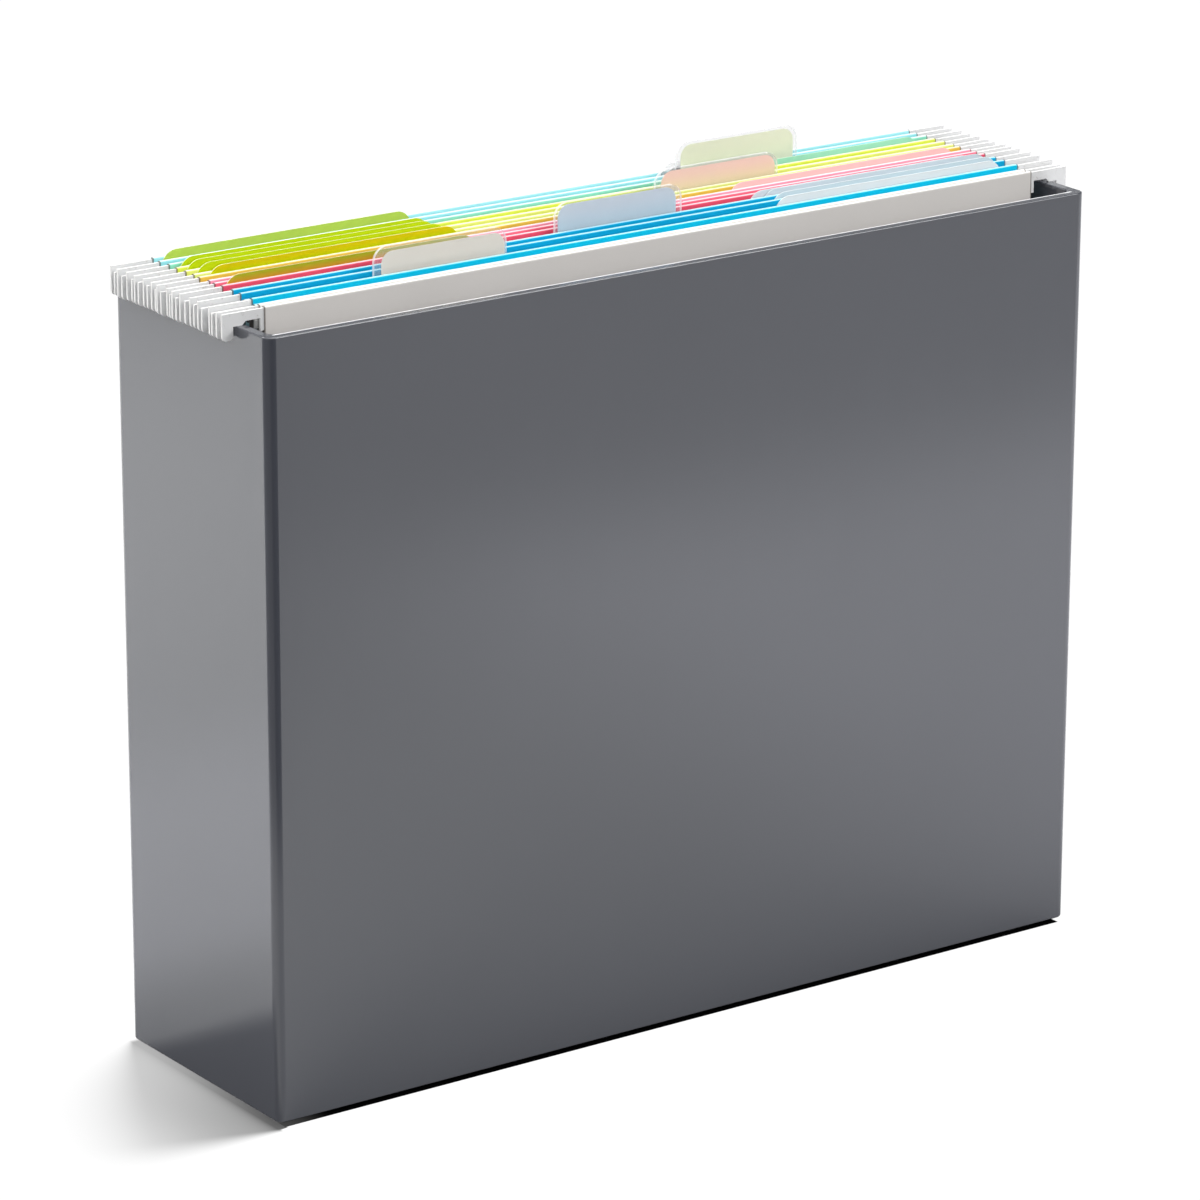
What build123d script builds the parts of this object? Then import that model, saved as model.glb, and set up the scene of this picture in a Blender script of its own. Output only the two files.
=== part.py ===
import os
from math import radians, tan

from build123d import *

# A desktop file box: an open moulded box, packed with hanging folders whose rails hook over
# the rims of its two end walls. Sizes are in millimetres. X runs along the width, Y from the
# front to the back, Z up, and the origin is in the middle of the footprint, on the surface
# that the feet stand on.

# Box
box_width = 317.5
box_depth = 89.0
box_height = 255.6
wall = 3.5
floor_thickness = 3.5
wall_draft = 0.08
corner_radius = 2.8
rim_radius = 0.4
base_radius = 1.0

# Feet
foot_radius = 6.0
foot_height = 1.4
foot_seat_depth = 0.8
foot_inset = 15.0
foot_rounding = 0.4

# Hanging folders: card sheets folded over two flat rails each
card = 0.25
sheet_end_gap = 6.0
sheet_floor_gap = 14.7
fold_rise = 0.4
fold_rounding = 0.6
flap_height = 12.0
glue_height = 3.0
flap_slope = 3.0
bottom_crease = 0.6

# Rails
rail_thickness = 0.8
rail_height = 7.0
rail_clearance = 0.05
first_rail_top = 4.2
low_rail_top = 3.5
high_rail_top = 5.1
leg_width = 3.9
leg_length = 4.2
leg_gap = 1.5
leg_rounding = 1.4
notch_reach = 4.7
notch_rounding = 0.6
arch_rise = 1.2
arch_share = 0.65
rail_corner = 0.8

# Loose folders, held inside the hanging ones
loose_side_gap = 1.75
loose_drop = 6.3
loose_front_drop = 10.0
left_tab_height = 13.6
right_tab_height = 12.6
loose_tab_slant = 4.0
loose_tab_rounding = 5.5
loose_gap = 0.1
slide_gap = 0.1
lift_gap = 0.05

# Index tabs: clear sleeves clipped to a folder's face, with a paper label in each
tab_width = 49.5
tab_wall = 0.3
tab_pocket = 0.35
tab_gap = 0.05
tab_rounding = 4.8
tab_foot = 4.4
tongue_width = 10.0
tongue_spacing = 30.0
lip_height = 0.8
lip_reach = 0.3
lip_drop = 1.5
lip_clearance = 0.1
label_thickness = 0.2
label_width = 46.0
label_rounding = 4.2

# The index tabs, by their folder's number: the middle along the width, the rise above the rim,
# and how far the label stands in from the sleeve's left end and from its top
index_tabs = {
    3: (-78.1, 13.5, 3.0, 1.9),
    5: (-3.4, 14.5, 1.4, 0.8),
    10: (51.6, 13.0, 2.6, 0.9),
    13: (72.6, 16.0, 2.1, 1.1),
    14: (67.6, 9.0, 3.0, 1.6),
}

# The hanging folders, from the front to the back: the room in front of each, how far it has
# slid sideways on the rims, whether its index tab hangs on its rear loop, and its loose
# folders, each with the side on which its tab is cut and how far it has slid in the folder.
# Extra is room inside a folder that nothing fills. The pack stands this far from the back
# wall, and what it leaves in front of it is the free slot.
rear_room = 0.9
folders = [
    {"room": 0.0, "slid": 0.6, "extra": 1.5},
    {"room": 1.3, "slid": 0.7},
    {"room": 2.5, "slid": 1.1, "loose": [("right", 2.0)]},
    {"room": 1.4, "slid": 1.4, "loose": [("right", 4.0)]},
    {"room": 0.5, "slid": 1.4, "loose": [("right", 4.0), ("right", -1.0)]},
    {"room": 0.3, "slid": 1.0, "loose": [("left", -1.0)]},
    {"room": 0.7, "slid": 1.4},
    {"room": 1.4, "slid": 0.9, "loose": [("right", 1.0)]},
    {"room": 0.3, "slid": 1.3, "loose": [("left", 0.5)]},
    {"room": 0.3, "slid": 1.4, "loose": [("left", -1.0)]},
    {"room": 1.2, "slid": 1.1, "loose": [("left", -1.5)]},
    {"room": 0.7, "slid": 1.4, "loose": [("left", -1.5), ("right", 0.0)]},
    {"room": 0.8, "slid": 0.9, "tab_on_rear": True},
    {"room": 0.3, "slid": 1.4, "loose": [("left", -1.5)]},
]

wall_inset = box_height * tan(radians(wall_draft))
sheet_width = box_width - 2 * (wall + sheet_end_gap)
sheet_bottom = foot_height + floor_thickness + sheet_floor_gap
loop_depth = rail_thickness + 2 * (rail_clearance + card)
loose_width = sheet_width - 2 * loose_side_gap
loose_bottom = sheet_bottom + card + lift_gap
loose_height = box_height - loose_drop - loose_bottom
loose_thickness = 2 * card + loose_gap
loose_tab_foot = loose_width / 3
loose_tab_top = loose_tab_foot - 2 * loose_tab_slant
tab_thickness = 2 * tab_wall + tab_pocket
tab_room = tab_thickness + tab_gap


def upright(y):
    """A plane that faces the front at depth y, with X across and Z up."""
    return Plane.XZ.offset(-y)


def save(piece, name, slid=0.0):
    """Writes a piece, slid sideways by this much from where it was drawn."""
    placed = Pos(slid, 0, 0) * piece.part
    placed.label = name
    export_step(placed, f"parts/{name}.step")


# Box shell: an outer and an inner block, both with the walls' draft

with BuildPart() as shell:
    with BuildSketch(Plane.XY.offset(foot_height)):
        RectangleRounded(box_width - 2 * wall_inset, box_depth - 2 * wall_inset, corner_radius)
    extrude(amount=box_height - foot_height, taper=-wall_draft)
    bottom_edges = shell.faces().sort_by(Axis.Z)[0].edges()
    fillet(bottom_edges, base_radius)
    cavity_height = box_height - foot_height - floor_thickness
    cavity_inset = wall + cavity_height * tan(radians(wall_draft))
    with BuildSketch(Plane.XY.offset(foot_height + floor_thickness)):
        RectangleRounded(
            box_width - 2 * cavity_inset, box_depth - 2 * cavity_inset, corner_radius
        )
    extrude(amount=cavity_height, taper=-wall_draft, mode=Mode.SUBTRACT)
    rim_edges = shell.faces().sort_by(Axis.Z)[-1].edges()
    fillet(rim_edges, rim_radius)
    with BuildSketch(Plane.XY.offset(foot_height)):
        with GridLocations(box_width - 2 * foot_inset, box_depth - 2 * foot_inset, 2, 2):
            Circle(foot_radius)
    extrude(amount=foot_seat_depth, mode=Mode.SUBTRACT)
save(shell, "box_shell")


# Feet: four round pads, each in a shallow seat under the floor

with BuildPart() as feet:
    with BuildSketch():
        with GridLocations(box_width - 2 * foot_inset, box_depth - 2 * foot_inset, 2, 2):
            Circle(foot_radius)
    extrude(amount=foot_height + foot_seat_depth)
    chamfer(feet.faces().group_by(Axis.Z)[0].edges(), foot_rounding)
save(feet, "box_feet")


# Rails: a flat strip with a hook at each end, whose notch sits on the rim


def rail_outline(top):
    """Half of a rail's outline, from its middle to its hook, for a strip this far above the rim."""
    notch_outer = box_width / 2 + leg_gap
    notch_inner = box_width / 2 - wall - notch_reach
    strip_bottom = top - rail_height
    arch_start = box_width / 2 - wall / 2
    arch_rounding = (arch_rise - strip_bottom) * arch_share
    with BuildSketch(Plane.XZ) as outline:
        with BuildLine():
            Polyline(
                (0, box_height + strip_bottom),
                (0, box_height + top),
                (notch_outer + leg_width, box_height + top),
                (notch_outer + leg_width, box_height - leg_length),
                (notch_outer, box_height - leg_length),
                (notch_outer, box_height),
                (arch_start, box_height),
                (arch_start - arch_rise, box_height + arch_rise),
                (notch_inner, box_height + arch_rise),
                (notch_inner, box_height + strip_bottom),
                close=True,
            )
        make_face()
        corners = outline.vertices()
        leg_end = corners.group_by(Axis.Y)[0]
        tip = corners.group_by(Axis.Y)[-1].sort_by(Axis.X)[-1]
        seat = corners.filter_by_position(
            Axis.Y, box_height - arch_rise / 2, box_height + arch_rise / 2
        )
        arch = corners.filter_by_position(
            Axis.Y, box_height + arch_rise / 2, box_height + arch_rise * 3 / 2
        )
        fillet(leg_end, leg_rounding)
        fillet(tip, rail_corner)
        fillet(seat.sort_by(Axis.X)[-1], notch_rounding)
        fillet(arch.sort_by(Axis.X)[0], arch_rounding)
    return outline.sketch


rail_outlines = {top: rail_outline(top) for top in (first_rail_top, low_rail_top, high_rail_top)}


def make_rails(name, slid, rail_places):
    """The rails of one folder, from the depth and the outline of each."""
    with BuildPart() as rails:
        for y, outline in rail_places:
            strip = extrude(
                Pos(0, y, 0) * outline, rail_thickness / 2, both=True, mode=Mode.PRIVATE
            )
            add(strip)
            add(mirror(strip, about=Plane.YZ, mode=Mode.PRIVATE))
    save(rails, name, slid)


# Hanging folder: one sheet that loops over the front rail, hangs down, turns at its
# creased bottom and comes up to loop over the rear rail


def panel_side(rail_y, rail_top, facing):
    """The inner line of a panel, from the top of its loop to its bottom crease."""
    loop_face = rail_y + facing * loop_depth / 2
    panel_face = rail_y - facing * loop_depth / 2
    rail_bottom = box_height + rail_top - rail_height
    return [
        (loop_face, box_height + rail_top + fold_rise),
        (loop_face, rail_bottom - glue_height),
        (panel_face + facing * 2 * card, rail_bottom - glue_height - flap_slope),
        (panel_face + facing * 2 * card, rail_bottom - flap_height),
        (panel_face + facing * card, rail_bottom - flap_height),
        (panel_face + facing * card, sheet_bottom + card + bottom_crease),
        (panel_face + facing * (card + bottom_crease), sheet_bottom + card),
    ]


def make_hanging_folder(name, slid, front, rear, tab):
    """A sheet looped over the rails at front and rear, each a depth and a rise above the rim."""
    front_face = front[0] - loop_depth / 2
    rear_face = rear[0] + loop_depth / 2
    front_side = panel_side(front[0], front[1], 1)
    rear_side = panel_side(rear[0], rear[1], -1)
    outside = [
        (rear_face, box_height + rear[1] + fold_rise),
        (rear_face, sheet_bottom + bottom_crease),
        (rear_face - bottom_crease, sheet_bottom),
        (front_face + bottom_crease, sheet_bottom),
        (front_face, sheet_bottom + bottom_crease),
        (front_face, box_height + front[1] + fold_rise),
    ]
    with BuildPart() as sheet:
        with BuildSketch(Plane.YZ) as profile:
            with BuildLine():
                Polyline(*front_side, *reversed(rear_side), *outside, close=True)
            make_face()
            tops = profile.vertices().filter_by_position(
                Axis.Y, box_height + low_rail_top, box_height + high_rail_top + 2 * fold_rise
            )
            fillet(tops, fold_rounding)
            for rail_y, rail_top in (front, rear):
                with Locations((rail_y, box_height + rail_top - rail_height / 2)):
                    Rectangle(
                        rail_thickness + 2 * rail_clearance,
                        rail_height + 2 * rail_clearance,
                        mode=Mode.SUBTRACT,
                    )
        extrude(amount=sheet_width / 2, both=True)
        if tab:
            lip_z = box_height + tab["rail_top"] - rail_height - lip_drop
            with BuildSketch(upright(tab["face_y"])):
                with Locations((tab["sizes"][0], lip_z)):
                    with GridLocations(tongue_spacing, 1, 2, 1):
                        Rectangle(
                            tongue_width + 2 * lip_clearance, lip_height + 2 * lip_clearance
                        )
            extrude(amount=-(lip_reach + lip_clearance), mode=Mode.SUBTRACT)
    save(sheet, name, slid)


# Loose folder: a folded sheet with a tab on its rear leaf, standing inside a hanging folder


def make_loose_folder(name, slid, front_y, side):
    """A loose folder whose front leaf starts at front_y, with its tab on the named side."""
    rear_leaf_y = front_y + card + loose_gap
    front_height = loose_height - loose_front_drop
    tab_bottom = loose_bottom + loose_height
    if side == "right":
        tab_x = (loose_width - loose_tab_foot) / 2
        tab_height = right_tab_height
    else:
        tab_x = (loose_tab_foot - loose_width) / 2
        tab_height = left_tab_height
    with BuildPart() as loose:
        with BuildSketch(upright(front_y)):
            with Locations((0, loose_bottom + front_height / 2)):
                Rectangle(loose_width, front_height)
        extrude(amount=-card)
        with BuildSketch(upright(front_y)):
            with Locations((0, loose_bottom + card / 2)):
                Rectangle(loose_width, card)
        extrude(amount=-loose_thickness)
        with BuildSketch(upright(rear_leaf_y)):
            with Locations((0, loose_bottom + loose_height / 2)):
                Rectangle(loose_width, loose_height)
        extrude(amount=-card)
        with BuildSketch(upright(rear_leaf_y)) as tab:
            with BuildLine():
                Polyline(
                    (tab_x - loose_tab_foot / 2, tab_bottom),
                    (tab_x + loose_tab_foot / 2, tab_bottom),
                    (tab_x + loose_tab_top / 2, tab_bottom + tab_height),
                    (tab_x - loose_tab_top / 2, tab_bottom + tab_height),
                    close=True,
                )
            make_face()
            fillet(tab.vertices().group_by(Axis.Y)[-1], loose_tab_rounding)
        extrude(amount=-card)
    save(loose, name, slid)


# Index tab: a clear sleeve in front of a loop, with two tongues whose lips catch in the
# folder's slots, and the paper label inside it


def make_index_tab(number, slid, tab):
    """The tab of one folder and its label, in front of the loop's face that carries it."""
    x, rise, label_left, label_top = tab["sizes"]
    rail_top = tab["rail_top"]
    back_y = tab["face_y"] - tab_gap
    sleeve_bottom = box_height + rail_top - tab_foot
    sleeve_height = box_height + rise - sleeve_bottom
    lip_z = box_height + rail_top - rail_height - lip_drop
    tongue_height = sleeve_bottom - lip_z + lip_height / 2
    with BuildPart() as sleeve:
        with BuildSketch(upright(back_y - tab_thickness)) as front:
            with Locations((x, sleeve_bottom + sleeve_height / 2)):
                Rectangle(tab_width, sleeve_height)
            fillet(front.vertices().group_by(Axis.Y)[-1], tab_rounding)
        extrude(amount=-tab_thickness)
        pocket_width = tab_width - 2 * tab_wall
        pocket_height = sleeve_height - tab_wall
        with BuildSketch(upright(back_y - tab_wall - tab_pocket)) as pocket:
            with Locations((x, sleeve_bottom + pocket_height / 2)):
                Rectangle(pocket_width, pocket_height)
            fillet(pocket.vertices().group_by(Axis.Y)[-1], tab_rounding - tab_wall)
        extrude(amount=-tab_pocket, mode=Mode.SUBTRACT)
        with BuildSketch(upright(back_y - tab_wall)):
            with Locations((x, sleeve_bottom - tongue_height / 2)):
                with GridLocations(tongue_spacing, 1, 2, 1):
                    Rectangle(tongue_width, tongue_height)
        extrude(amount=-tab_wall)
        with BuildSketch(upright(back_y - tab_wall)):
            with Locations((x, lip_z)):
                with GridLocations(tongue_spacing, 1, 2, 1):
                    Rectangle(tongue_width, lip_height)
        extrude(amount=-(tab_wall + tab_gap + lip_reach))
    save(sleeve, f"index_tab_{number:02}", slid)

    label_height = sleeve_height - label_top
    label_x = x - tab_width / 2 + label_left + label_width / 2
    label_y = back_y - tab_wall - (tab_pocket + label_thickness) / 2
    with BuildPart() as label:
        with BuildSketch(upright(label_y)) as paper:
            with Locations((label_x, sleeve_bottom + label_height / 2)):
                Rectangle(label_width, label_height)
            fillet(paper.vertices().group_by(Axis.Y)[-1], label_rounding)
        extrude(amount=-label_thickness)
    save(label, f"tab_label_{number:02}", slid)


# The packed row of folders: each one stands behind the last, as close as its room says


def tab_depth(number, folder, on_rear):
    """The depth that a folder's index tab takes up before its rear or before its front loop."""
    is_there = number in index_tabs and folder.get("tab_on_rear", False) == on_rear
    return tab_room if is_there else 0


def lead(number, folder):
    """The depth before a folder's front face: its room, and an index tab where one hangs there."""
    return folder["room"] + tab_depth(number, folder, on_rear=False)


def own_depth(number, folder):
    """A folder's depth, from the face of its front loop to the face of its rear loop."""
    loose_count = len(folder.get("loose", []))
    pocket = slide_gap + loose_count * (loose_thickness + slide_gap) + folder.get("extra", 0)
    return 2 * loop_depth + pocket + tab_depth(number, folder, on_rear=True)


pack_depth = 0
for number, folder in enumerate(folders, start=1):
    pack_depth += lead(number, folder) + own_depth(number, folder)
face_y = box_depth / 2 - wall - rear_room - pack_depth

for number, folder in enumerate(folders, start=1):
    face_y += lead(number, folder)
    rear_face_y = face_y + own_depth(number, folder)
    front_y = face_y + loop_depth / 2
    rear_y = rear_face_y - loop_depth / 2
    front_top = first_rail_top if number == 1 else low_rail_top
    rear_top = first_rail_top if number == 1 else high_rail_top
    slid = folder["slid"]

    tab = None
    if number in index_tabs:
        tab = {"sizes": index_tabs[number], "rail_top": front_top, "face_y": face_y}
    if "tab_on_rear" in folder:
        tab["rail_top"] = rear_top
        tab["face_y"] = rear_face_y - loop_depth

    front = (front_y, front_top)
    rear = (rear_y, rear_top)
    make_hanging_folder(f"hanging_folder_{number:02}", slid, front, rear, tab)
    rail_places = [(front_y, rail_outlines[front_top]), (rear_y, rail_outlines[rear_top])]
    make_rails(f"hanging_rails_{number:02}", slid, rail_places)
    if tab:
        make_index_tab(number, slid, tab)

    held = folder.get("loose", [])
    loose_y = front_y + loop_depth / 2 + slide_gap
    for place, (side, loose_slid) in enumerate(held):
        letter = "ab"[place] if len(held) > 1 else ""
        name = f"loose_folder_{number:02}{letter}"
        make_loose_folder(name, slid + loose_slid, loose_y, side)
        loose_y += loose_thickness + slide_gap
    face_y = rear_face_y
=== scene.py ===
import math

import bpy
from mathutils import Matrix, Vector


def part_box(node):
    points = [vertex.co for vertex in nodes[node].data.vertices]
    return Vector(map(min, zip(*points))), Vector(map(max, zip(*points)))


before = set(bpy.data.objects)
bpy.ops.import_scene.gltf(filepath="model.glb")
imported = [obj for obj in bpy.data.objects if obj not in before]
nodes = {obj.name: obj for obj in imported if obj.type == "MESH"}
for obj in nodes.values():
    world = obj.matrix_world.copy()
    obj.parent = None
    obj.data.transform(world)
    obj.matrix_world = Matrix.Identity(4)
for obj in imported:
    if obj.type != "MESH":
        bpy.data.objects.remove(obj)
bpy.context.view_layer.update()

# A slim grey plastic box, packed with hanging folders. Metres; +X along the width, +Y from the
# front to the back, +Z up.

shell_low, shell_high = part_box("box_shell")
rim_z = shell_high.z
MM = 0.001


# Colours, as they show in plain light (sRGB, 0 to 255)

SHELL = (68, 70, 77)
# The painted highlight along the front rim's inner edge
RIM_HIGHLIGHT = (244, 244, 246)
FOOT = (30, 30, 32)
# The rails' enamel: a painted highlight on their edges, and their plain faces
RAIL_EDGE_HIGHLIGHT = (240, 239, 237)
RAIL_FACE = (221, 221, 221)
RAIL_SCUFF = (172, 167, 162)
# Painted shade inside the hooks' notches
RAIL_NOTCH_SHADE = (84, 80, 78)
CARD_OUTSIDE = (214, 210, 206)
# Pale card: the cut edges, the paper's flecks, and the painted highlight on the folders' creases
CARD_EDGE = (246, 244, 240)
# Painted shade at the sheets' ends beside the hooks
SHEET_END_SHADE = (96, 88, 82)
CLEAR = (212, 214, 220)
# Painted highlight along the clear sleeves' edges
CLEAR_EDGE_HIGHLIGHT = (250, 250, 252)

# The folders' sheets, inside, from the front to the back
SHEETS = {
    1: (226, 223, 219),
    2: (0, 178, 212),
    3: (0, 157, 202),
    4: (0, 160, 206),
    5: (220, 80, 106),
    6: (232, 104, 128),
    7: (238, 150, 172),
    8: (219, 182, 74),
    9: (216, 224, 128),
    10: (216, 222, 112),
    11: (212, 224, 80),
    12: (140, 214, 190),
    13: (150, 218, 224),
    14: (160, 222, 228),
}

# The loose folders, by the hanging folder that holds them
LOOSE = {
    "03": (228, 227, 228),
    "04": (202, 214, 220),
    "05a": (200, 214, 221),
    "05b": (204, 217, 224),
    "06": (158, 166, 34),
    "08": (246, 196, 198),
    "09": (204, 187, 0),
    "10": (190, 210, 10),
    "11": (190, 210, 10),
    "12a": (186, 208, 14),
    "12b": (160, 220, 190),
    "14": (178, 204, 84),
}

# The painted bounce light on two tabs at their foot, where light from the sheets beside them
# colours them
LOOSE_FOOT_BOUNCE = {
    "06": (204, 146, 44),
    "09": (188, 201, 0),
}

# The labels in the index tabs, at their head and their foot
LABELS = {
    "03": ((226, 218, 206), (230, 222, 211)),
    "05": ((200, 206, 218), (168, 198, 214)),
    "10": ((240, 200, 184), (228, 226, 146)),
    "13": ((230, 234, 206), (222, 230, 196)),
    "14": ((222, 224, 226), (206, 218, 220)),
}

# The floor, to the shell's reflections, with painted shade and light in it
FLOOR = (215, 215, 215)
FLOOR_SHADED = (84, 84, 86)
FLOOR_DARK = (110, 110, 112)
FLOOR_CORE = (20, 20, 22)
FLOOR_FAR = (185, 185, 186)
FLOOR_BRIGHT = (246, 246, 250)

# The floor, as it is seen, and its painted shade under the box
FLOOR_SEEN = (50, 50, 50)
FLOOR_UNDER_SHADE = (12, 12, 12)


# Places on the part

# The front rim's inner edge from the shell's outer face, the painted highlight line on it, how
# soft the line is, and how far below the rim its top begins and is whole
RIM_INNER = 3.3 * MM
RIM_LINE = 0.8 * MM
RIM_SOFT = 0.1 * MM
RIM_CORNER = 1 * MM
RIM_TOP_BEGINS = 0.3 * MM
RIM_TOP_WHOLE = 0.2 * MM

# Where the strips' ends stand beside the hooks' notches, how far out the scuffs thin, and the
# heights over the rim between which the painted shade in a notch ends
HOOK_INNER = 150.5 * MM
SCUFF_REACH = 6 * MM
NOTCH_LOW = 1.4 * MM
NOTCH_HIGH = 2.2 * MM

# The dark line of painted shade at a sheet's ends, how much of a loose folder's tab shows, and how
# far the painted bounce light at the tab's foot fades downward
SHEET_END = 0.5 * MM
TAB_SHOWN = 3.2 * MM
FOOT_GLOW = 25 * MM


# The floor's painted shadow, and the painted glow under the near corner: shares of the light, and
# lengths

UNDER_FRONT = 0.5 * MM
UNDER_SIDE = 2.8 * MM
SHADOW_REACH = 78 * MM
SHADOW_BROAD = 0.66
SHADOW_CLOSE = 0.24
SHADOW_REAR = 0.62
CONTACT_FADE = 2.5 * MM
EDGE_SOFT = 1.5 * MM
FRONT_EDGE = 1 * MM
FRONT_TAPER = 0.12
FRONT_SOFTENING = 0.25
REAR_TAPER = 1.1
REAR_SOFTENING = 1.0
GLOW = 1.0
# Painted light: a faint glow in the gap under the box near its near corner
GLOW_CORNER = 0.06
GLOW_CORNER_ENDS = 0.87

# The floor's tones to the shell's reflections, all painted shade and light: the shade at the box's
# foot, the dark side to its left, the greyer distance ahead, the bright parts ahead on the right
# and behind, and the two wedges before the near corner

FOOT_FADE = 38 * MM
FRONT_SHADE = 0.4
DARK_NEAR = 60 * MM
DARK_LEFT = 0.85
DARK_BEFORE = 20 * MM
DARK_BEHIND = (-18 * MM, 8 * MM)
FAR = (-250 * MM, -700 * MM)
RIGHT_X = (60 * MM, 300 * MM)
RIGHT_Y = (-600 * MM, -400 * MM)
REAR_BEGINS = (60 * MM, 120 * MM)
REAR_ENDS = (350 * MM, 200 * MM)
REAR_SHARE = 0.7
WEDGE_FROM = 180 * MM
DARK_TURN = math.radians(54.7)
DARK_COSINES = (0.02, 0.3)
DARK_AT_CORNER = 0.35
CORE_TURN = math.radians(14)
CORE_COSINES = (0.8, 0.95)
CORE_AT_CORNER = 0.25

WORLD_AROUND = (0.96, 0.98, 1.0, 1)
AROUND = 0.3


# Camera, at the photograph's angle: measured from the box's edges in the photograph

AZIMUTH = math.radians(-35.443)
ELEVATION = math.radians(17.942)
ROLL = math.radians(0.175)
DISTANCE = 1.958
TARGET = Vector((-4.69 * MM, 0, 133.34 * MM))
SENSOR = 36
LENS = 180.75


def linear(rgb):
    """A colour in 0 to 255 as the linear colour that a shader socket takes."""
    shares = [c / 255 for c in rgb]
    channels = [s / 12.92 if s <= 0.04045 else ((s + 0.055) / 1.055) ** 2.4 for s in shares]
    return channels + [1.0]


def scaled(rgb, factor):
    return tuple(min(255, c * factor) for c in rgb)


def blended(rgb_a, rgb_b, share):
    return tuple(a + (b - a) * share for a, b in zip(rgb_a, rgb_b))


# Shader building


class Shader:
    """A material with a Principled surface, and short ways to add nodes before it."""

    # Where the Mix node keeps its colour sockets, after those for numbers and vectors
    COLOUR_A = 6
    COLOUR_B = 7
    COLOUR_OUT = 2

    def __init__(self, name, **sockets):
        self.material = bpy.data.materials.new(name)
        self.material.use_nodes = True
        self.tree = self.material.node_tree
        self.tree.nodes.clear()
        self.output = self.tree.nodes.new("ShaderNodeOutputMaterial")
        self.surface = self.tree.nodes.new("ShaderNodeBsdfPrincipled")
        self.tree.links.new(self.surface.outputs["BSDF"], self.output.inputs["Surface"])
        for socket, value in sockets.items():
            self.surface.inputs[socket.replace("_", " ")].default_value = value

    def add(self, kind, **settings):
        node = self.tree.nodes.new("ShaderNode" + kind)
        for key, value in settings.items():
            setattr(node, key, value)
        return node

    def put(self, value, socket):
        """Links an output to a socket, or sets the socket to a plain value."""
        if isinstance(value, bpy.types.NodeSocket):
            self.tree.links.new(value, socket)
        else:
            socket.default_value = value

    def set(self, socket, value):
        self.put(value, self.surface.inputs[socket])

    def place(self, stretch=(1, 1, 1)):
        """The object's own coordinates, in metres, stretched along each axis."""
        coordinates = self.add("TexCoord")
        mapping = self.add("Mapping")
        mapping.inputs["Scale"].default_value = stretch
        self.put(coordinates.outputs["Object"], mapping.inputs["Vector"])
        return mapping.outputs["Vector"]

    def axis(self, output, axis):
        """One axis of the object's own coordinates (Object) or of its normal (Normal)."""
        coordinates = self.add("TexCoord")
        split = self.add("SeparateXYZ")
        self.put(coordinates.outputs[output], split.inputs["Vector"])
        return split.outputs[axis]

    def noise(self, size, detail=3.0, roughness=0.5, stretch=(1, 1, 1)):
        """Noise from 0 to 1 whose patches are about this many metres across."""
        node = self.add("TexNoise")
        node.inputs["Scale"].default_value = 1 / size
        node.inputs["Detail"].default_value = detail
        node.inputs["Roughness"].default_value = roughness
        self.put(self.place(stretch), node.inputs["Vector"])
        return node.outputs["Fac"]

    def ramp(self, value, low, high, start=0.0, end=1.0):
        """value from low to high, moved to start to end and held there."""
        node = self.add("MapRange", interpolation_type="SMOOTHSTEP")
        self.put(value, node.inputs["Value"])
        node.inputs["From Min"].default_value = low
        node.inputs["From Max"].default_value = high
        node.inputs["To Min"].default_value = start
        node.inputs["To Max"].default_value = end
        return node.outputs["Result"]

    def math(self, operation, a, b=0.0):
        node = self.add("Math", operation=operation)
        self.put(a, node.inputs[0])
        self.put(b, node.inputs[1])
        return node.outputs["Value"]

    def product(self, first, *others):
        for other in others:
            first = self.math("MULTIPLY", first, other)
        return first

    def falling(self, distance, fade):
        """1 where the distance is 0, less and less beyond it."""
        return self.math("EXPONENT", self.math("MULTIPLY", distance, -1 / fade))

    def mix(self, factor, a, b):
        """Colour a where the factor is 0, and colour b where it is 1."""
        node = self.add("Mix", data_type="RGBA")
        self.put(factor, node.inputs["Factor"])
        self.put(a, node.inputs[self.COLOUR_A])
        self.put(b, node.inputs[self.COLOUR_B])
        return node.outputs[self.COLOUR_OUT]

    def tone(self, factor, rgb, darkest, lightest):
        """One colour from its darkest to its lightest share, as the factor goes from 0 to 1."""
        return self.mix(factor, linear(scaled(rgb, darkest)), linear(scaled(rgb, lightest)))

    def bump(self, *layers):
        """Bump from (height, depth in metres) layers, one on the other."""
        normal = None
        for height, depth in layers:
            node = self.add("Bump")
            node.inputs["Distance"].default_value = depth
            self.put(height, node.inputs["Height"])
            if normal is not None:
                self.put(normal, node.inputs["Normal"])
            normal = node.outputs["Normal"]
        self.set("Normal", normal)


# Materials


def front_rim_highlight(shader):
    """1 along the inner edge of the front wall's rim, where a highlight is painted, and 0
    elsewhere.
    """
    depth = shader.axis("Object", "Y")
    inner = shell_low.y + RIM_INNER
    starts = shader.ramp(depth, inner - RIM_LINE, inner - RIM_LINE + RIM_SOFT)
    ends = shader.ramp(depth, inner, inner + RIM_SOFT, 1.0, 0.0)
    height = shader.axis("Object", "Z")
    on_top = shader.ramp(height, rim_z - RIM_TOP_BEGINS, rim_z - RIM_TOP_WHOLE)
    across = shader.math("ABSOLUTE", shader.axis("Object", "X"))
    end_wall = shell_high.x - RIM_INNER
    between = shader.ramp(across, end_wall, end_wall - RIM_CORNER)
    return shader.product(starts, ends, on_top, between)


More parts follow.
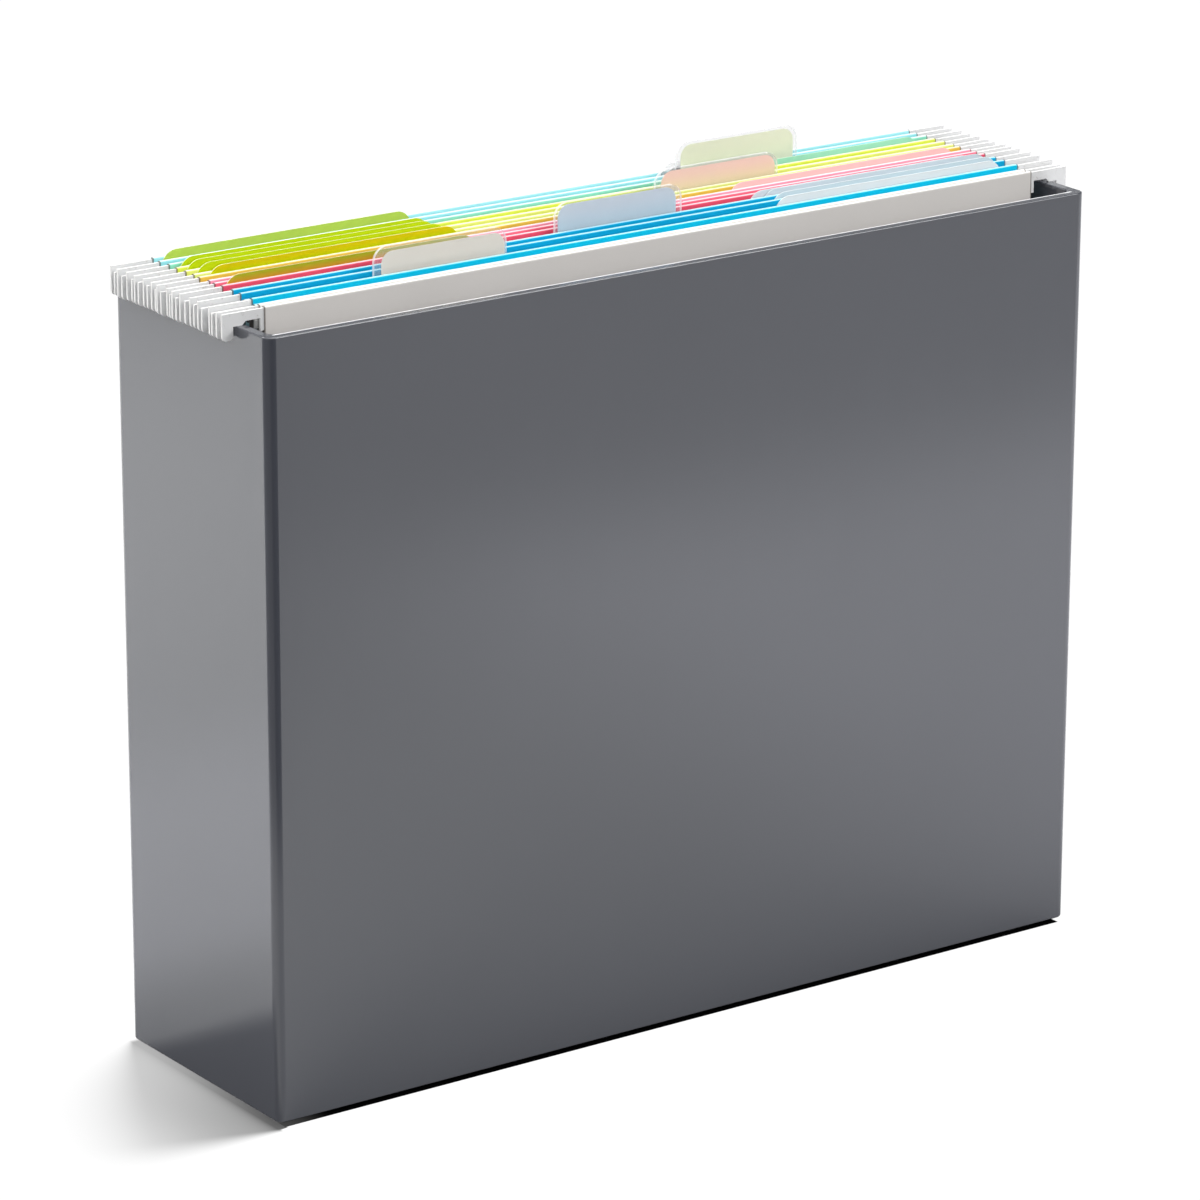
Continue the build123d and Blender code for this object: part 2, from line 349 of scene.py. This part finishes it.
def shell_plastic():
    """Polished moulded plastic: a faint orange peel, a little dust and fine rubs, and a painted
    highlight as a pale line along the front rim's inner edge."""
    shader = Shader("shell_plastic", IOR=1.85)
    grey = shader.tone(shader.noise(90 * MM, detail=2), SHELL, 0.97, 1.03)
    # Painted highlight: a pale line along the front rim's inner edge
    shader.set("Base Color", shader.mix(front_rim_highlight(shader), grey, linear(RIM_HIGHLIGHT)))
    rubs = shader.noise(6 * MM, detail=6, roughness=0.65, stretch=(1, 1, 0.15))
    shader.set("Roughness", shader.ramp(rubs, 0.35, 0.85, 0.1, 0.16))
    shader.bump((shader.noise(14 * MM, detail=1), 0.0015 * MM))
    return shader.material


def foot_rubber():
    shader = Shader("foot_rubber", Roughness=0.75)
    shader.set("Base Color", shader.tone(shader.noise(3 * MM), FOOT, 0.85, 1.2))
    shader.bump((shader.noise(0.5 * MM), 0.05 * MM))
    return shader.material


def rail_enamel(name, notch):
    """White enamelled steel, with a painted highlight on its edges, and grey scuffs where the
    hooks rub on the rims. A notch of 1 paints shade on the inner side of the hooks' notches, and 0
    leaves them white."""
    shader = Shader(name, IOR=1.5)
    # Painted highlight: the edges, which do not face front or back, are lighter than the faces
    facing = shader.math("ABSOLUTE", shader.axis("Normal", "Y"))
    base = shader.mix(shader.ramp(facing, 0.5, 0.9), linear(RAIL_EDGE_HIGHLIGHT), linear(RAIL_FACE))
    scuff = shader.noise(1.6 * MM, detail=5, roughness=0.7)
    across = shader.math("ABSOLUTE", shader.axis("Object", "X"))
    inward = shader.ramp(across, HOOK_INNER, HOOK_INNER + SCUFF_REACH, 0.9, 0.4)
    spots = shader.product(shader.ramp(scuff, 0.56, 0.74), inward)
    base = shader.mix(spots, base, linear(RAIL_SCUFF))
    # Painted shade on the inner side of the notches, low down
    height = shader.axis("Object", "Z")
    low = shader.ramp(height, rim_z + NOTCH_LOW, rim_z + NOTCH_HIGH, notch, 0.0)
    begins = shader.ramp(across, HOOK_INNER - 3 * MM, HOOK_INNER - 1 * MM)
    ends = shader.ramp(across, shell_high.x - 3 * MM, shell_high.x - 1.5 * MM, 1.0, 0.0)
    dark = shader.product(low, begins, ends)
    shader.set("Base Color", shader.mix(dark, base, linear(RAIL_NOTCH_SHADE)))
    shader.set("Roughness", shader.ramp(scuff, 0.35, 0.7, 0.32, 0.55))
    shader.bump((scuff, 0.03 * MM), (shader.noise(4 * MM), 0.05 * MM))
    return shader.material


def card(name, inside, outside, low, high):
    """Folder card: coloured on the sides that face each other, plain outside, with a painted
    highlight on the crease over each rail, and painted shade, dark, where it ends beside the
    hooks."""
    shader = Shader(name, Roughness=0.62, IOR=1.45, Specular_IOR_Level=0.12)
    facing = shader.axis("Normal", "Y")
    rising = shader.axis("Normal", "Z")
    across = shader.axis("Normal", "X")
    depth = shader.axis("Object", "Y")
    behind = shader.math("GREATER_THAN", depth, (low.y + high.y) / 2)
    sign = shader.math("SUBTRACT", 1.0, shader.math("MULTIPLY", behind, 2.0))
    is_inside = shader.ramp(shader.product(facing, sign), -0.1, 0.1)
    fibre = shader.noise(0.9 * MM, detail=5, roughness=0.7, stretch=(0.35, 1, 1))
    cloud = shader.noise(35 * MM, detail=2)
    inside_tone = shader.tone(cloud, inside, 0.97, 1.03)
    outside_tone = shader.tone(cloud, outside, 0.975, 1.015)
    colour = shader.mix(is_inside, outside_tone, inside_tone)
    # Painted highlight: the crease over each rail, which faces up, is paler
    crease = shader.ramp(rising, 0.55, 0.85)
    colour = shader.mix(crease, colour, linear(blended(inside, CARD_EDGE, 0.7)))
    cut = shader.ramp(shader.math("ABSOLUTE", across), 0.6, 0.9)
    colour = shader.mix(cut, colour, linear(blended(inside, CARD_EDGE, 0.45)))
    # Painted shade: a dark line at the sheet's ends, beside the hooks
    from_middle = shader.math("SUBTRACT", shader.axis("Object", "X"), (low.x + high.x) / 2)
    from_middle = shader.math("ABSOLUTE", from_middle)
    half = (high.x - low.x) / 2
    end = shader.ramp(from_middle, half - SHEET_END, half - SHEET_END / 2)
    colour = shader.mix(shader.math("MULTIPLY", end, 0.8), colour, linear(SHEET_END_SHADE))
    shader.set("Base Color", colour)
    shader.bump((fibre, 0.012 * MM), (shader.noise(12 * MM, detail=2), 0.05 * MM))
    return shader.material


def loose_paper(name, colour, foot_bounce_colour, low_z, high_z):
    """Heavy paper with paler cut edges, and painted bounce light from its neighbours at the tab's
    foot.
    """
    shader = Shader(name, Roughness=0.6, IOR=1.45, Specular_IOR_Level=0.1)
    facing = shader.math("ABSOLUTE", shader.axis("Normal", "Y"))
    cut = shader.ramp(facing, 0.75, 0.4)
    cloud = shader.noise(28 * MM, detail=2)
    head = shader.tone(cloud, colour, 0.965, 1.02)
    foot = shader.tone(cloud, foot_bounce_colour, 0.965, 1.02)
    height = shader.axis("Object", "Z")
    # Painted bounce light: the neighbours' colour at the tab's foot, fading down the sheet
    glow = shader.math("SUBTRACT", shader.ramp(height, low_z - FOOT_GLOW, low_z),
                       shader.ramp(height, low_z, high_z))
    tone = shader.mix(glow, head, foot)
    shader.set("Base Color", shader.mix(cut, tone, linear(blended(colour, CARD_EDGE, 0.75))))
    fibre = shader.noise(0.8 * MM, detail=5, roughness=0.7, stretch=(0.4, 1, 1))
    shader.bump((fibre, 0.010 * MM), (shader.noise(10 * MM, detail=2), 0.04 * MM))
    return shader.material


def clear_plastic(name):
    """Thin clear sleeve plastic: almost nothing on its faces, and a painted highlight as a pale
    line at its edges.
    """
    shader = Shader(name, IOR=1.46)
    facing = shader.math("ABSOLUTE", shader.axis("Normal", "Y"))
    face = shader.ramp(facing, 0.5, 0.95)
    shader.set("Base Color", shader.mix(face, linear(CLEAR_EDGE_HIGHLIGHT), linear(CLEAR)))
    shader.set("Alpha", shader.ramp(facing, 0.5, 0.95, 0.5, 0.07))
    haze = shader.noise(2 * MM, detail=4)
    shader.set("Roughness", shader.ramp(haze, 0.3, 0.8, 0.06, 0.16))
    return shader.material


def label_paper(name, top, bottom, low_z, high_z):
    """A paper slip whose tone shifts from its foot to its head."""
    shader = Shader(name, Roughness=0.7)
    rise = shader.ramp(shader.axis("Object", "Z"), low_z, high_z)
    tone = shader.mix(rise, linear(bottom), linear(top))
    speck = shader.noise(1.2 * MM, detail=4)
    flecks = shader.math("MULTIPLY", speck, 0.12)
    shader.set("Base Color", shader.mix(flecks, tone, linear(CARD_EDGE)))
    shader.bump((speck, 0.01 * MM))
    return shader.material


def dress(name, material):
    """Gives a CAD node's object this material in place of its own."""
    obj = nodes[name]
    obj.data.materials.clear()
    obj.data.materials.append(material)


def dress_part():
    dress("box_shell", shell_plastic())
    dress("box_feet", foot_rubber())
    # The front rails have no painted shade in their notches; the rails behind have it
    front_enamel = rail_enamel("rail_enamel_front", 0.0)
    enamel = rail_enamel("rail_enamel", 1.0)
    for number, colour in SHEETS.items():
        key = f"{number:02}"
        low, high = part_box(f"hanging_folder_{key}")
        outside = CARD_OUTSIDE if number == 1 else blended(colour, CARD_OUTSIDE, 0.8)
        dress(f"hanging_folder_{key}", card(f"card_{key}", colour, outside, low, high))
        dress(f"hanging_rails_{key}", front_enamel if number == 1 else enamel)
    for key, colour in LOOSE.items():
        top_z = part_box(f"loose_folder_{key}")[1].z
        foot_bounce_colour = LOOSE_FOOT_BOUNCE.get(key, colour)
        paper = loose_paper(f"paper_{key}", colour, foot_bounce_colour, top_z - TAB_SHOWN, top_z)
        dress(f"loose_folder_{key}", paper)
    sleeve = clear_plastic("clear_plastic")
    for key, (top, bottom) in LABELS.items():
        top_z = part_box(f"tab_label_{key}")[1].z
        dress(f"index_tab_{key}", sleeve)
        dress(f"tab_label_{key}", label_paper(f"label_{key}", top, bottom, rim_z, top_z))


# Stage: a pale floor that runs to the horizon, seen white, with the box's soft shadow painted on
# it


def seen_share(tree):
    """1 for rays that show a thing to the camera, plainly or through clear plastic, else 0."""
    path = tree.nodes.new("ShaderNodeLightPath")
    either = tree.nodes.new("ShaderNodeMath")
    either.operation = "MAXIMUM"
    tree.links.new(path.outputs["Is Camera Ray"], either.inputs[0])
    tree.links.new(path.outputs["Is Transmission Ray"], either.inputs[1])
    return either.outputs["Value"]


def beyond(shader, axis, half):
    """How far a place on the floor lies outside the box along one axis, and 0 inside it."""
    place = shader.math("ABSOLUTE", shader.axis("Object", axis))
    return shader.math("MAXIMUM", shader.math("SUBTRACT", place, half), 0.0)


def from_box(shader):
    """The distance from the box's footprint, and 0 under it."""
    beside = beyond(shader, "X", shell_high.x - UNDER_SIDE)
    before = beyond(shader, "Y", shell_high.y - UNDER_FRONT)
    squares = [shader.math("POWER", side, 2.0) for side in (beside, before)]
    return shader.math("SQRT", shader.math("ADD", *squares))


def wedge(shader, gap, turn, cosines, at_corner):
    """1 on a painted dark side of the floor before the near corner, which shows only in that
    corner's reflection. It lies this turn away from the front's left, fades in between two cosines
    of the angle from there, and is only at_corner strong close to the box."""
    from_corner_x = shader.math("SUBTRACT", shader.axis("Object", "X"), shell_low.x)
    from_corner_y = shader.math("SUBTRACT", shader.axis("Object", "Y"), shell_low.y)
    ahead = shader.math(
        "ADD",
        shader.math("MULTIPLY", from_corner_x, -math.sin(turn)),
        shader.math("MULTIPLY", from_corner_y, -math.cos(turn)),
    )
    turned = shader.math("DIVIDE", ahead, shader.math("ADD", gap, 1 * MM))
    strength = shader.ramp(gap, WEDGE_FROM, WEDGE_FROM * 2, at_corner, 1.0)
    return shader.product(shader.ramp(turned, *cosines), strength)


def shadow_edge(shader, past, away, softening):
    """1 on the shadow's side of an edge and 0 past it, softer as it goes away from the box."""
    softness = shader.math("ADD", shader.math("MULTIPLY", away, softening), EDGE_SOFT)
    return shader.ramp(shader.math("DIVIDE", past, softness), -1.0, 1.0, 1.0, 0.0)


def left_shadow(shader):
    """The painted shadow on the floor to the left of the box, as the share of light that it takes
    away:
    most at the box's foot and towards the front, fading outwards between two edges, of which the
    rear one closes in."""
    y = shader.axis("Object", "Y")
    out = shader.math("SUBTRACT", shell_low.x, shader.axis("Object", "X"))
    away = shader.math("MAXIMUM", out, 0.0)
    broad = shader.ramp(away, SHADOW_REACH, 0.0, 0.0, SHADOW_BROAD)
    close = shader.math("MULTIPLY", shader.falling(away, CONTACT_FADE), SHADOW_CLOSE)
    deep = shader.math("ADD", broad, close)
    before = shader.math("SUBTRACT", shell_low.y - FRONT_EDGE, y)
    before = shader.math("ADD", before, shader.math("MULTIPLY", away, FRONT_TAPER))
    behind = shader.math("SUBTRACT", y, shell_high.y)
    behind = shader.math("ADD", behind, shader.math("MULTIPLY", away, REAR_TAPER))
    front = shadow_edge(shader, before, away, FRONT_SOFTENING)
    rear = shadow_edge(shader, behind, away, REAR_SOFTENING)
    under = shader.ramp(y, shell_low.y - UNDER_FRONT, shell_low.y, 0.0, UNDER_SIDE)
    beside = shader.ramp(shader.math("ADD", out, under), -1 * MM, 0.0)
    along = shader.ramp(y, shell_high.y, shell_low.y, SHADOW_REAR, 1.0)
    return shader.product(deep, along, front, rear, beside)


def left_dark(shader):
    """A painted shadow: the wider dark side of the floor to the left of the box, which its left
    face reflects.
    """
    y = shader.axis("Object", "Y")
    out = shader.math("SUBTRACT", shell_low.x, shader.axis("Object", "X"))
    beside = shader.ramp(out, -1 * MM, 0.0)
    nearby = shader.ramp(out, DARK_NEAR, DARK_NEAR * 2, DARK_LEFT, 0.0)
    before = shader.ramp(y, shell_low.y - DARK_BEFORE, shell_low.y)
    starts, ends = DARK_BEHIND
    behind = shader.ramp(y, shell_high.y + starts, shell_high.y + ends, 1.0, 0.0)
    return shader.product(beside, nearby, before, behind)


def reflected_floor(shader, gap, outside):
    """The floor's colour to all rays but those that show it to the camera, with its painted shade
    and light.
    """
    x = shader.axis("Object", "X")
    y = shader.axis("Object", "Y")
    front_shade = shader.math("MULTIPLY", shader.falling(gap, FOOT_FADE), FRONT_SHADE)
    shade = shader.math("MAXIMUM", left_dark(shader), front_shade)
    colour = shader.mix(shader.ramp(y, *FAR), linear(FLOOR), linear(FLOOR_FAR))
    right = shader.product(shader.ramp(x, *RIGHT_X), shader.ramp(y, *RIGHT_Y))
    rear = shader.ramp(y, *REAR_BEGINS, 0.0, REAR_SHARE)
    rear = shader.product(rear, shader.ramp(y, *REAR_ENDS))
    colour = shader.mix(shader.math("MAXIMUM", right, rear), colour, linear(FLOOR_BRIGHT))
    colour = shader.mix(shade, colour, linear(FLOOR_SHADED))
    dark = wedge(shader, gap, DARK_TURN, DARK_COSINES, DARK_AT_CORNER)
    colour = shader.mix(dark, colour, linear(FLOOR_DARK))
    core = wedge(shader, gap, CORE_TURN, CORE_COSINES, CORE_AT_CORNER)
    colour = shader.mix(core, colour, linear(FLOOR_CORE))
    return shader.mix(outside, linear(FLOOR_UNDER_SHADE), colour)


def seen_floor(shader, outside):
    """The floor to the camera: a faint surface, and a glow that the painted shadow takes away."""
    lost = shader.math("MULTIPLY", left_shadow(shader), GLOW)
    around = shader.math("MULTIPLY", shader.math("SUBTRACT", GLOW, lost), outside)
    x = shader.axis("Object", "X")
    # Painted light: a faint glow in the dark gap under the near corner
    corner = shader.ramp(x, shell_low.x, shell_low.x * GLOW_CORNER_ENDS, GLOW_CORNER, 0.0)
    under = shader.math("MULTIPLY", corner, shader.math("SUBTRACT", 1.0, outside))
    glow = shader.add("Emission")
    glow.inputs["Color"].default_value = (1, 1, 1, 1)
    shader.put(shader.math("ADD", around, under), glow.inputs["Strength"])
    faint = shader.add("BsdfDiffuse")
    shader.put(shader.mix(outside, linear(FLOOR_UNDER_SHADE), linear(FLOOR_SEEN)), faint.inputs["Color"])
    lit = shader.add("AddShader")
    shader.put(faint.outputs["BSDF"], lit.inputs[0])
    shader.put(glow.outputs["Emission"], lit.inputs[1])
    return lit.outputs["Shader"]


def make_floor():
    bpy.ops.mesh.primitive_circle_add(vertices=96, radius=4, fill_type="NGON", location=(0, 0, 0))
    floor = bpy.context.object
    floor.name = "floor"
    shader = Shader("floor_white", Roughness=0.9, Specular_IOR_Level=0.0)
    gap = from_box(shader)
    outside = shader.math("GREATER_THAN", gap, 0.0)
    shader.set("Base Color", reflected_floor(shader, gap, outside))
    choose = shader.add("MixShader")
    shader.put(seen_share(shader.tree), choose.inputs["Fac"])
    shader.put(shader.surface.outputs["BSDF"], choose.inputs[1])
    shader.put(seen_floor(shader, outside), choose.inputs[2])
    shader.put(choose.outputs["Shader"], shader.output.inputs["Surface"])
    floor.data.materials.append(shader.material)


def make_world():
    """White to the camera, and a plain soft grey surround for light and reflections."""
    world = bpy.data.worlds.new("studio")
    bpy.context.scene.world = world
    world.use_nodes = True
    tree = world.node_tree
    tree.nodes.clear()
    output = tree.nodes.new("ShaderNodeOutputWorld")
    seen = tree.nodes.new("ShaderNodeBackground")
    seen.inputs["Color"].default_value = (1, 1, 1, 1)
    seen.inputs["Strength"].default_value = 1.0
    around = tree.nodes.new("ShaderNodeBackground")
    around.inputs["Color"].default_value = WORLD_AROUND
    around.inputs["Strength"].default_value = AROUND
    mix = tree.nodes.new("ShaderNodeMixShader")
    tree.links.new(seen_share(tree), mix.inputs["Fac"])
    tree.links.new(around.outputs["Background"], mix.inputs[1])
    tree.links.new(seen.outputs["Background"], mix.inputs[2])
    tree.links.new(mix.outputs["Shader"], output.inputs["Surface"])


def softbox(name, place, target, size, watts, spread=180):
    """A rectangular light that is aimed at a target."""
    light = bpy.data.lights.new(name, "AREA")
    light.shape = "RECTANGLE"
    light.size, light.size_y = size
    light.energy = watts
    light.spread = math.radians(spread)
    lamp = bpy.data.objects.new(name, light)
    bpy.context.collection.objects.link(lamp)
    lamp.location = place
    lamp.rotation_mode = "QUATERNION"
    lamp.rotation_quaternion = (Vector(target) - lamp.location).to_track_quat("-Z", "Y")


def make_lights():
    middle = (0, 0, 0.2)
    softbox("top_softbox", (0.3, 0.2, 1.4), middle, (1.0, 0.8), 13)
    softbox("key_softbox", (0.9, -1.3, 1.1), middle, (0.9, 0.7), 17)
    softbox("fill_softbox", (-0.6, -1.5, 0.9), middle, (0.9, 0.7), 6)
    softbox("back_softbox", (-0.8, 0.9, 1.0), (-0.45, 0.5, 0), (0.8, 0.8), 6, spread=80)
    softbox("left_softbox", (-1.5, -0.4, 0.8), middle, (1.0, 1.0), 7.5)
    softbox("rim_softbox", (1.1, 1.55, 0.46), (0, 0, 0.25), (1.2, 0.36), 3.5)


def make_camera():
    data = bpy.data.cameras.new("camera")
    data.sensor_width = SENSOR
    data.lens = LENS
    data.clip_end = 100
    camera = bpy.data.objects.new("camera", data)
    bpy.context.collection.objects.link(camera)
    back = Vector(
        (
            math.sin(AZIMUTH) * math.cos(ELEVATION),
            -math.cos(AZIMUTH) * math.cos(ELEVATION),
            math.sin(ELEVATION),
        )
    )
    move = Matrix.Translation(TARGET + back * DISTANCE)
    turn = (-back).to_track_quat("-Z", "Y").to_matrix().to_4x4()
    camera.matrix_world = move @ turn @ Matrix.Rotation(ROLL, 4, "Z")
    bpy.context.scene.camera = camera


dress_part()
make_floor()
make_world()
make_lights()
make_camera()
bpy.context.scene.view_settings.view_transform = "Standard"
